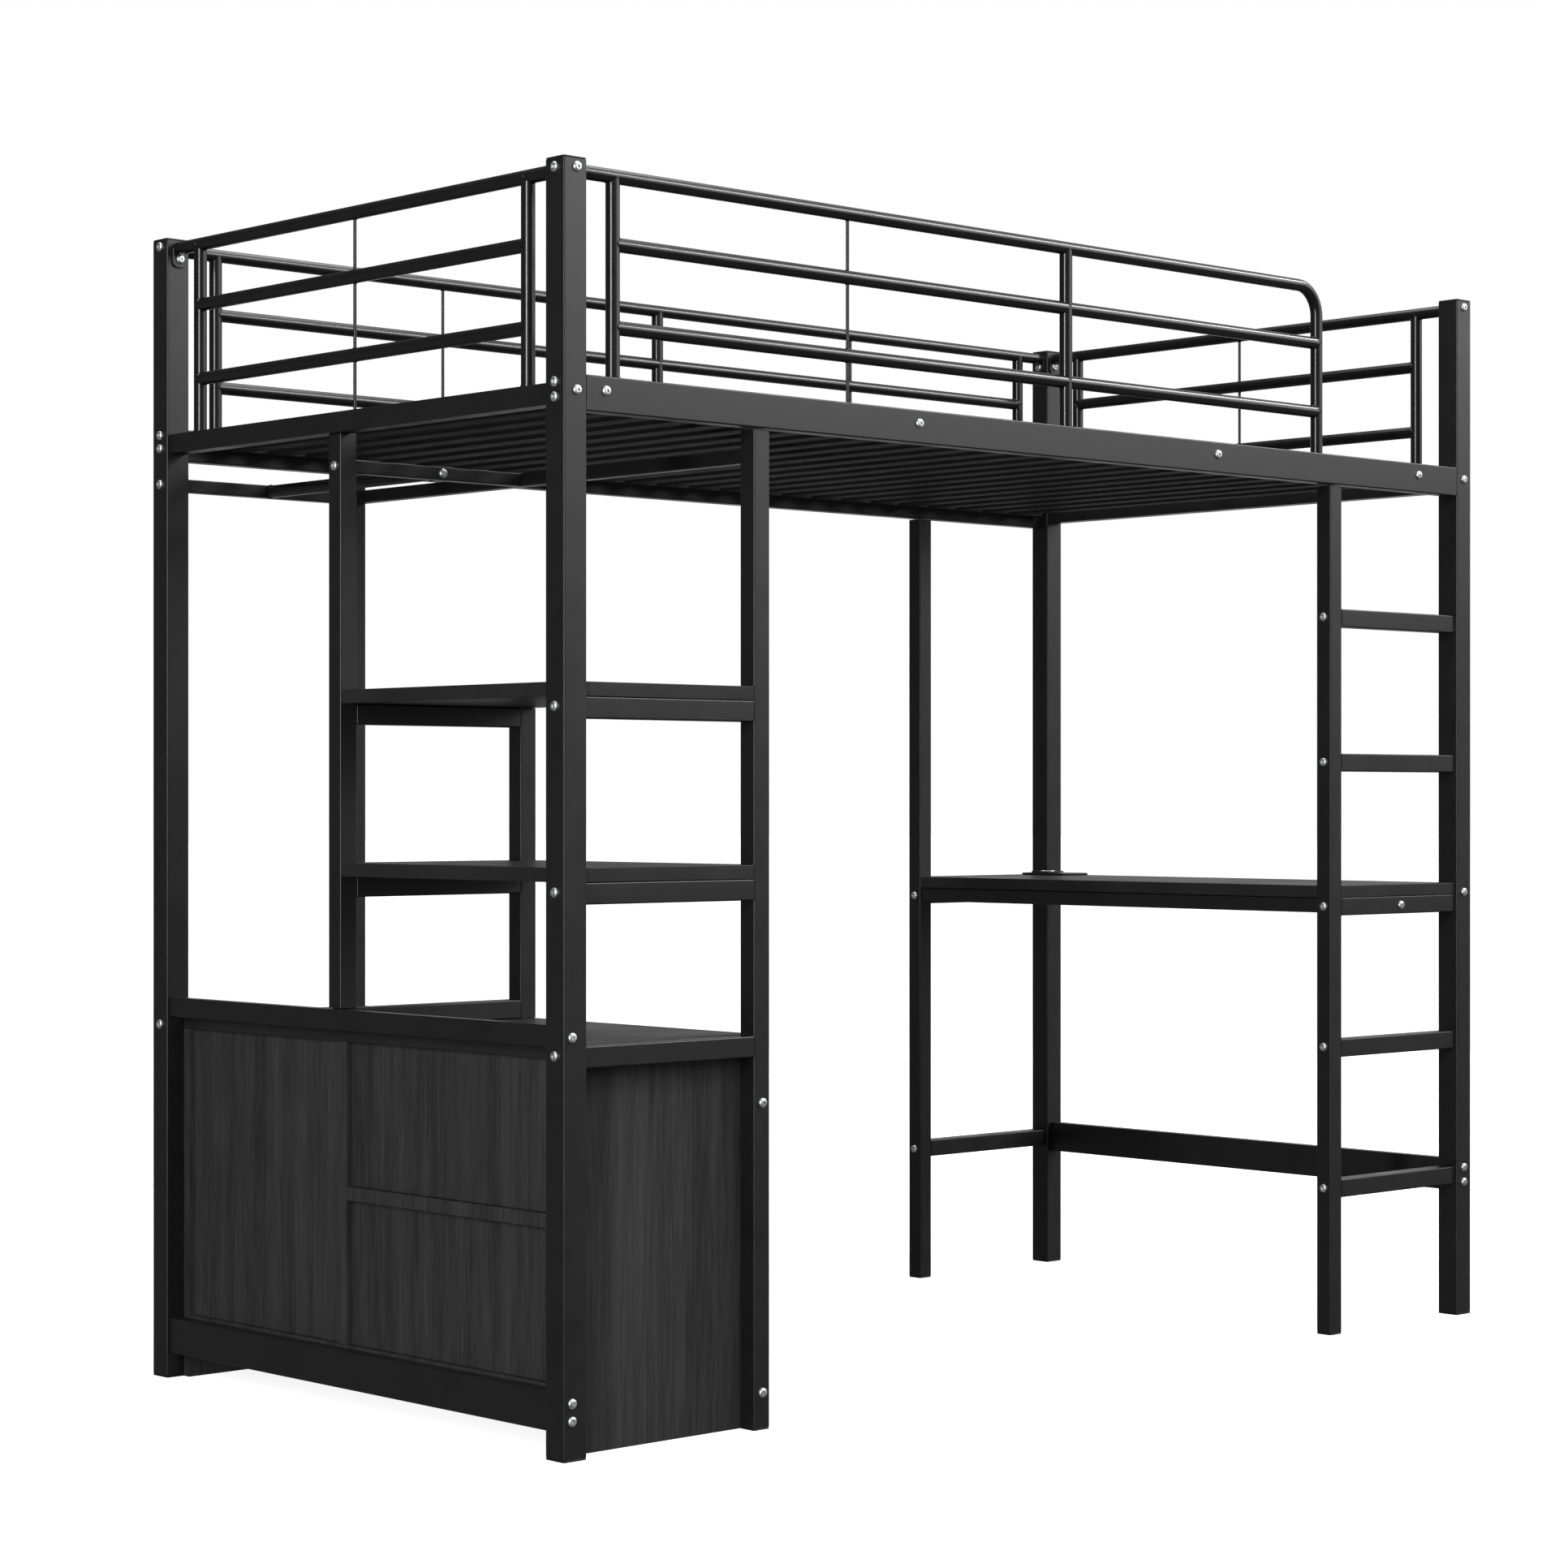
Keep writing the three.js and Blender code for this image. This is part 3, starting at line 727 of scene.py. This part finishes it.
def makeHinges():
    joint = next(joint for joint in frame["joints"] if joint["name"] == "door_hinge")
    axisPlace = Vector(joint["pos_m"])
    low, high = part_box("cabinet_door")
    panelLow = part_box("cabinet_side_back")[0]
    step, radius, thick = hinges["knuckleLength"] * mm, hinges["radius"] * mm, hinges["leafThickness"] * mm
    length = hinges["knuckles"] * step
    leafFront = axisPlace.x - radius - hinges["leafGap"] * mm
    for body, wanted in (("frame", 0), ("door", 1)):
        bm = bmesh.new()
        for middle in (low.z + hinges["inset"] * mm, high.z - hinges["inset"] * mm):
            start = middle - length / 2
            for i in range(wanted, hinges["knuckles"], 2):
                base = Vector((axisPlace.x, axisPlace.y, start + i * step))
                addTurned(bm, base, zAxis, [(radius, 0), (radius, step - hinges["knuckleGap"] * mm)], 20)
            near, far = (panelLow.y - thick, panelLow.y) if body == "frame" else (high.y, high.y + thick)
            leafLow = Vector((leafFront - hinges["leafWidth"] * mm, near, start))
            leafHigh = Vector((leafFront, far, start + length))
            addBar(bm, leafLow, leafHigh, 2, hinges["leafCorner"] * mm, hinges["leafEase"] * mm)
        finishPiece("door_hinges_on_" + body, bm, zinc, body)


# Roller runners on both sides of each drawer

runners = {  # mm
    "front": 22,  # the drawer front's back face behind the handle
    "boxBottom": 18,  # the drawer box's bottom above its front's lower edge
    "height": 32,
    "thickness": 1.2,
    "shelf": 8.5,
    "boxGap": 13.3,  # the drawer box's side from the bay's
    "slideLift": 12,
    "slideHeight": 24,
    "slideInset": 2,
    "corner": 0.3,
    "ease": 0.2,
    "wheelRadius": 8,
    "wheelWidth": 5,
    "wheelInset": 14,
    "wheelGap": 2,
}


def makeRunners():
    sizes = {name: size * mm for name, size in runners.items()}
    corner, ease, thick = sizes["corner"], sizes["ease"], sizes["thickness"]
    bayLow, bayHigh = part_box("cabinet_drawer_shelf")
    for name in ("drawer_upper", "drawer_lower"):
        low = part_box(name)[0]
        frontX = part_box(name + "_handle")[0].x - sizes["front"]
        bottom = low.z + sizes["boxBottom"]
        base = bottom + sizes["slideLift"]
        fixed, sliding = bmesh.new(), bmesh.new()
        for edge, way in ((bayLow.y, 1), (bayHigh.y, -1)):
            side = edge + way * sizes["boxGap"]
            inset = sizes["slideInset"]
            near, far = sorted((edge, edge + way * thick))
            high = Vector((frontX, far, bottom + sizes["height"]))
            addBar(fixed, Vector((low.x, near, bottom)), high, 0, corner, ease)
            near, far = sorted((edge, edge + way * sizes["shelf"]))
            high = Vector((frontX, far, bottom))
            addBar(fixed, Vector((low.x, near, bottom - thick)), high, 0, corner, ease)
            near, far = sorted((side, side - way * thick))
            high = Vector((frontX - inset, far, base + sizes["slideHeight"]))
            addBar(sliding, Vector((low.x + inset, near, base)), high, 0, corner, ease)
            wheel = Vector((low.x + sizes["wheelInset"], side - way * sizes["wheelGap"], base))
            addTurned(sliding, wheel, -yAxis * way, [(sizes["wheelRadius"], 0),
                                                     (sizes["wheelRadius"], sizes["wheelWidth"])])
        finishPiece(name + "_runners_fixed", fixed, zinc)
        finishPiece(name + "_runners_sliding", sliding, zinc, name)


# Charging plate on the desk: a thin plate with a raised square, a charging ring and two ports

station = {  # mm
    "plate": 4.2,
    "cornerRadius": 6,
    "plateEase": 0.9,
    "square": 46,
    "squareCorner": 4,
    "squareEase": 0.8,
    "inset": 14,
    "ring": 15,
    "ringWire": 0.6,
    "ports": (-14, 14),
    "portInset": 26,
    "port": (13, 6, 0.6),
    "portCorner": 1.2,
    "portEase": 0.3,
}


def makeStation():
    low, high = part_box("power_station")
    plateTop = low.z + station["plate"] * mm
    half = station["square"] / 2 * mm
    centre = Vector(((low.x + high.x) / 2, high.y - station["inset"] * mm - half, plateTop))
    near, far = centre - Vector((half, half, 0)), Vector((centre.x + half, centre.y + half, high.z))
    bm = bmesh.new()
    plateHigh = Vector((high.x, high.y, plateTop))
    addBar(bm, low, plateHigh, 2, station["cornerRadius"] * mm, station["plateEase"] * mm)
    addBar(bm, near, far, 2, station["squareCorner"] * mm, station["squareEase"] * mm)
    finishPiece("power_station_case", bm, plastic, nodes=["power_station"])
    bm = bmesh.new()
    path = [Vector((centre.x + u, centre.y + v, high.z)) for u, v in circle(station["ring"] * mm, 40)]
    addRoundTube(bm, path + path[:1], station["ringWire"] * mm, 8)
    long, wide, tall = station["port"]
    for aside in station["ports"]:
        port = Vector((centre.x + aside * mm, near.y - station["portInset"] * mm, plateTop))
        portLow, portHigh = Vector((-long / 2, -wide / 2, 0)) * mm, Vector((long / 2, wide / 2, tall)) * mm
        addBar(bm, port + portLow, port + portHigh, 2, station["portCorner"] * mm, station["portEase"] * mm)
    finishPiece("power_station_ring_and_ports", bm, zinc)


# Studio: pale floor, white surroundings and soft lights

studio = {
    "floor": "#f4f4f4",
    "floorRoughness": 0.9,
    "floorShine": 0.1,
    "glow": 0.85,  # the share of the floor's brightness that no shadow dims
    "floorReach": 60,
    "background": 1.0,
    "below": 0.15,  # brightness of the surroundings under the horizon, as the bed reflects them
    "dim": 0.09,
    "bright": 1.05,
    "toward": (0.7, -0.55, 0.45),  # the surroundings are brightest here
    "falloff": (0.2, 0.95),  # the cosines of the angles from there at which they are dim and bright
    "horizon": (-0.12, 0.3),
}


def makeStudio():
    bm = bmesh.new()
    bmesh.ops.create_grid(bm, x_segments=4, y_segments=4, size=studio["floorReach"])
    mesh = bpy.data.meshes.new("floor")
    bm.to_mesh(mesh)
    bm.free()
    floor = bpy.data.objects.new("floor", mesh)
    floor.location.z = cadLow.z - 0.2 * mm
    floor.visible_glossy = False  # the black coat would mirror it and look grey
    floor.visible_diffuse = False
    material, tree, shader = newMaterial("paleFloor", {"shine": studio["floorShine"]})
    shader.inputs["Base Color"].default_value = fromHex(studio["floor"])
    shader.inputs["Roughness"].default_value = studio["floorRoughness"]
    shader.inputs["Emission Color"].default_value = (1, 1, 1, 1)
    shader.inputs["Emission Strength"].default_value = studio["glow"]
    mesh.materials.append(material)
    bpy.context.scene.collection.objects.link(floor)


def makeWorld():
    world = bpy.data.worlds.new("surroundings")
    bpy.context.scene.world = world
    world.use_nodes = True
    tree = world.node_tree
    shine = tree.nodes["Background"]
    place = addNode(tree, "ShaderNodeTexCoord").outputs["Generated"]
    toward = Vector(studio["toward"]).normalized()
    facing = addNode(tree, "ShaderNodeVectorMath", {"operation": "DOT_PRODUCT"}, _0=place, _1=toward)
    far, near = studio["falloff"]
    level = addNode(tree, "ShaderNodeMapRange", Value=facing.outputs["Value"], From_Min=far, From_Max=near,
                    To_Min=studio["dim"], To_Max=studio["bright"]).outputs[0]
    height = addNode(tree, "ShaderNodeSeparateXYZ", Vector=place).outputs["Z"]
    low, high = studio["horizon"]
    above = addNode(tree, "ShaderNodeMapRange", {"interpolation_type": "SMOOTHSTEP"}, Value=height,
                    From_Min=low, From_Max=high, To_Min=0, To_Max=1).outputs[0]
    lit = addNode(tree, "ShaderNodeMix", _0=above, _2=studio["below"], _3=level).outputs[0]
    seen = addNode(tree, "ShaderNodeLightPath").outputs["Is Camera Ray"]
    strength = addNode(tree, "ShaderNodeMix", _0=seen, _2=lit, _3=studio["background"]).outputs[0]
    tree.links.new(strength, shine.inputs["Strength"])
    shine.inputs["Color"].default_value = (1, 1, 1, 1)


softLights = {
    # name: place, aimed at, width and height in m, watts
    "key": ((3.1, -3.5, 3.3), (0, 0, 1.7), (4.2, 2.8), 75),
    "top": ((0, 0.2, 4.8), (0, 0, 1.2), (3.6, 3.6), 150),
    "strip": ((3.0, -2.6, 4.0), (0, -0.4, 1.7), (3.4, 0.45), 110),
    "left": ((-5.4, -2.5, 1.9), (0, 0, 1.2), (0.5, 3.4), 230),
    "backdrop": ((4.8, 4.8, 1.1), (0, 0, 0.9), (8.0, 2.4), 45),
}


def makeLights():
    for name, (place, aim, size, power) in softLights.items():
        data = bpy.data.lights.new(name, "AREA")
        data.shape = "RECTANGLE"
        data.size, data.size_y = size
        data.energy = power
        light = bpy.data.objects.new(name, data)
        light.location = place
        light.rotation_euler = (Vector(aim) - Vector(place)).to_track_quat("-Z", "Y").to_euler()
        light.visible_camera = False
        bpy.context.scene.collection.objects.link(light)


makeCamera()
print("camera placed")

coat = makePowderCoat("powderCoatedSquareTube", powderCoat)
roundCoat = makePowderCoat("powderCoatedRoundTube", roundTubeCoat)
dullCoat = makePowderCoat("powderCoatedSlats", slatCoat)
grain, smooth = makeGrainBoard(), makeSmoothBoard()
zinc, plastic = makeZincPlate(), makeMouldedPlastic()
print("materials made")

makePosts()
makeTubes()
makeInnerShelfPost()
print("posts and rails made")

makeSlatDeck()
makeGuards()
makeTabs()
print("slats and guards made")

makeHangingRod()
makeBoards()
makeFronts()
makeHinges()
makeRunners()
print("wardrobe, shelves, desk and cabinet made")

makeStation()
makeBolts()
print("charging plate and bolts made")

makeStudio()
makeWorld()
makeLights()
bpy.context.scene.view_settings.view_transform = "Standard"
print("studio made")
